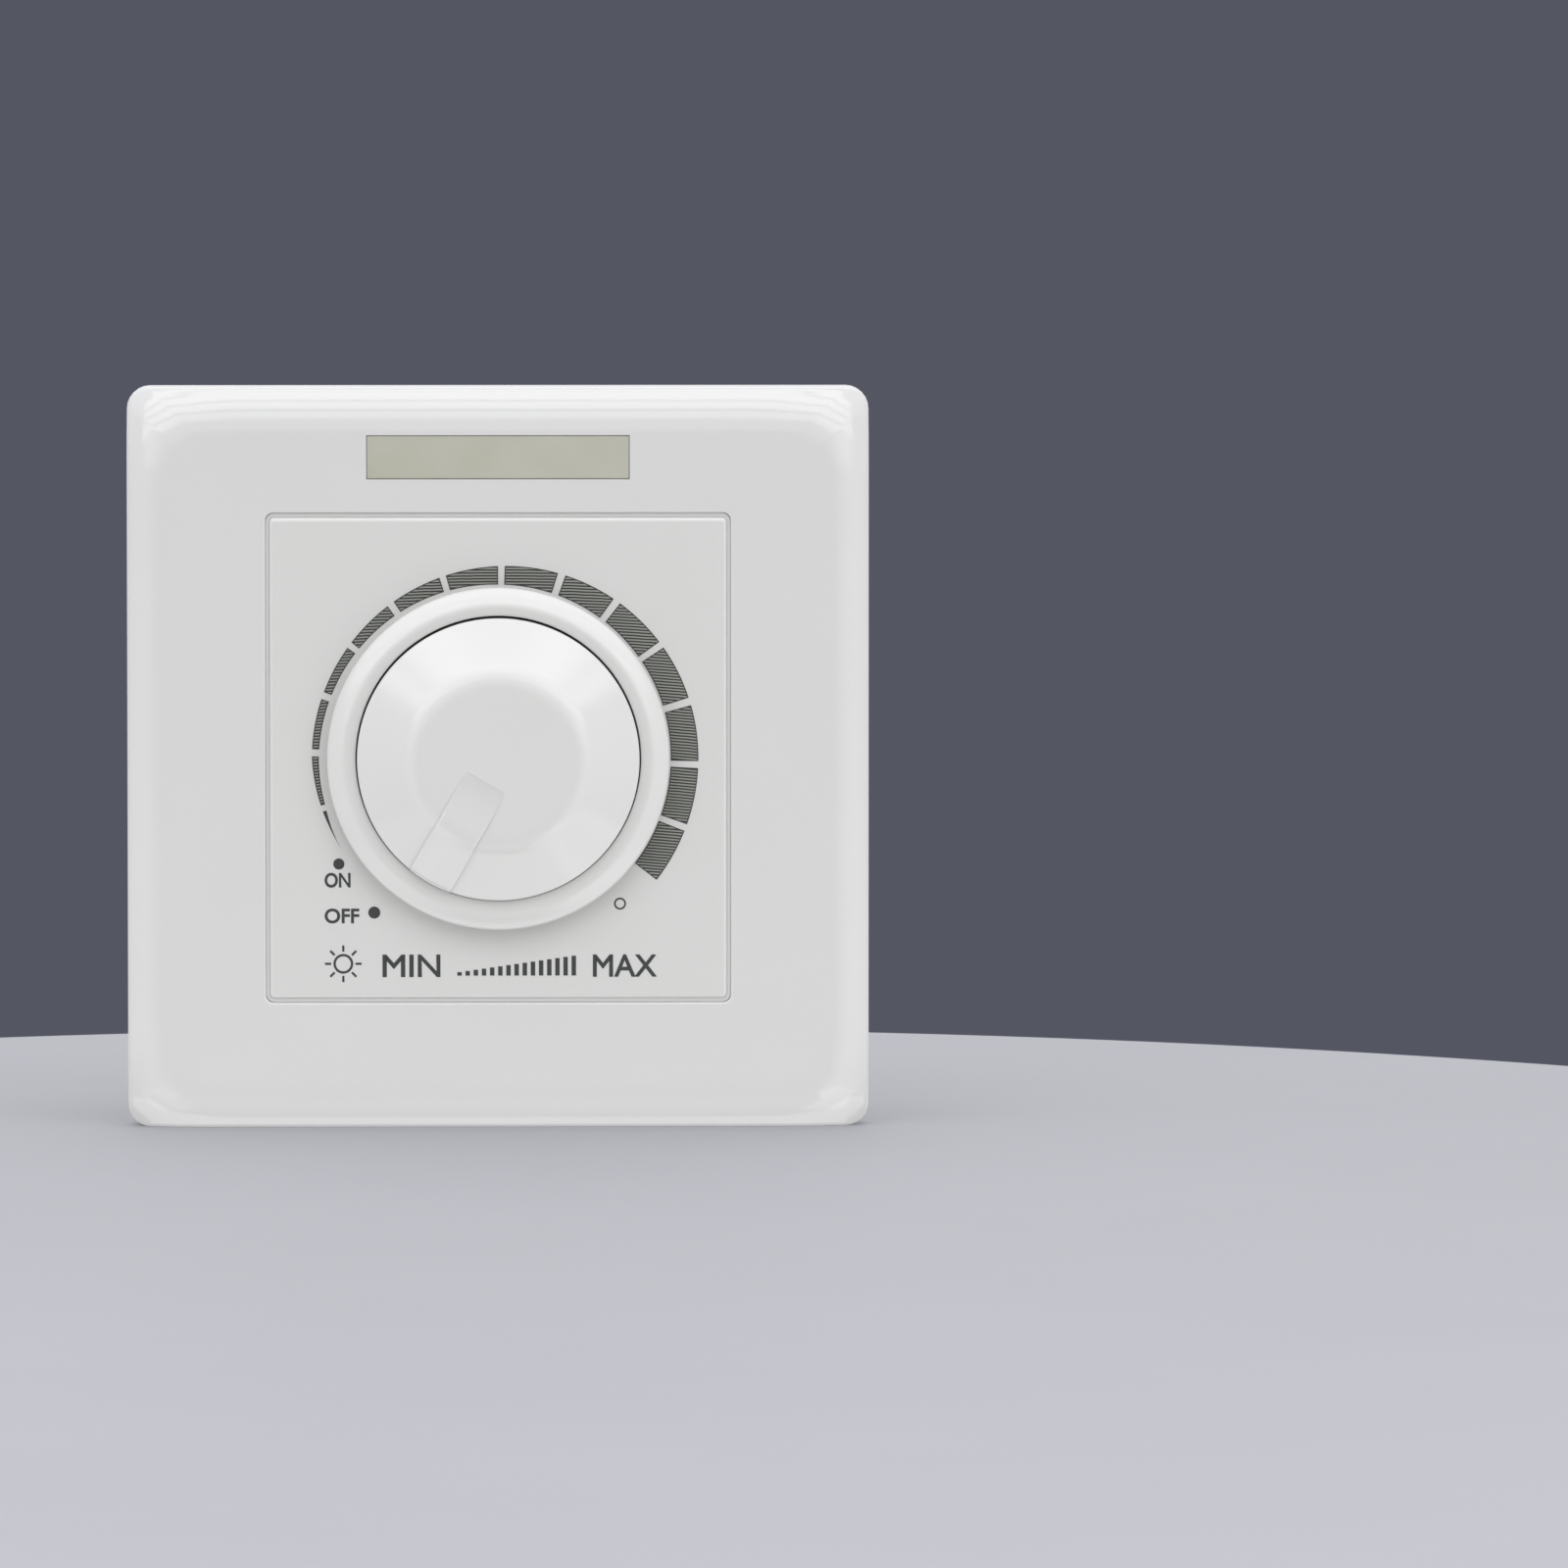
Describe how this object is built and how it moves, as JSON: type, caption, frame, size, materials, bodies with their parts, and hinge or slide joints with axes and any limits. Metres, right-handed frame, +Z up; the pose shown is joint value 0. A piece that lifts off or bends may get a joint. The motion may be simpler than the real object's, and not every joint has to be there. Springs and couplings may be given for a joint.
{
  "type": "rotary wall dimmer",
  "caption": "Square wall dimmer with a pillowed clip-on frame, an insert panel with a collar, a turning knob with a raised pointer, and a terminal housing behind.",
  "frame": {"origin": "in the wall's plane, midway between the two box screws, on the knob's axis", "axes": "+Z up, +Y into the wall, +X to the right as seen from the room"},
  "size_m": [0.086, 0.0438, 0.086],
  "materials": {
    "frame_plastic": "polished moulding",
    "panel_plastic": "polished moulding",
    "knob_plastic": "polished moulding",
    "strip_plastic": "frosted, translucent",
    "plate_plastic": "fine spark texture",
    "housing_plastic": "fine spark texture",
    "terminal_plastic": "moulded",
    "switch_plastic": "moulded phenolic",
    "track_card": "phenolic card",
    "board_laminate": "solder mask",
    "zinc_screw": "zinc plated",
    "tin_can": "tin plated, drawn",
    "spring_steel": "bright spring steel",
    "zinc_casting": "zinc die casting",
    "brass_part": "turned and pressed",
    "capacitor_sleeve": "shrunk sleeve",
    "film_case": "epoxy filled case",
    "epoxy_black": "moulded epoxy",
    "resistor_body": "lacquer",
    "diode_glass": "glass body"
  },
  "bodies": {
    "root": {"mounting_plate": "plate_plastic", "front_panel": "panel_plastic", "rear_housing": "housing_plastic", "housing_screws": "zinc_screw", "circuit_board": "board_laminate", "pot_bushing": "zinc_casting", "pot_can": "tin_can", "pot_washer": "spring_steel", "pot_nut": "brass_part", "pot_track": "track_card", "pot_terminals": "brass_part", "switch_housing": "switch_plastic", "switch_contacts": "brass_part", "terminal_block": "terminal_plastic", "terminal_clamps": "brass_part", "terminal_screws": "zinc_screw", "electrolytic_capacitor": "capacitor_sleeve", "film_capacitor": "film_case", "power_transistor": "epoxy_black", "bridge_rectifier": "epoxy_black", "fuse": "epoxy_black", "resistors": "resistor_body", "zener_diode": "diode_glass"},
    "knob": {"knob": "knob_plastic", "pot_shaft": "brass_part", "retaining_clip": "spring_steel", "knob_spring": "spring_steel", "wiper_disc": "switch_plastic", "wiper_leaf": "brass_part", "switch_disc": "switch_plastic", "switch_bridge": "brass_part"},
    "frame": {"face_frame": "frame_plastic", "locator_strip": "strip_plastic"}
  },
  "joints": [
    {"name": "knob_turn", "type": "hinge", "parent": "root", "child": "knob", "pos_m": [0, 0, 0], "axis": [0, 1, 0], "range_deg": [0, 300]},
    {"name": "frame_pull", "type": "slide", "parent": "root", "child": "frame", "axis": [0, -1, 0], "range_m": [0, 0.012]}
  ]
}
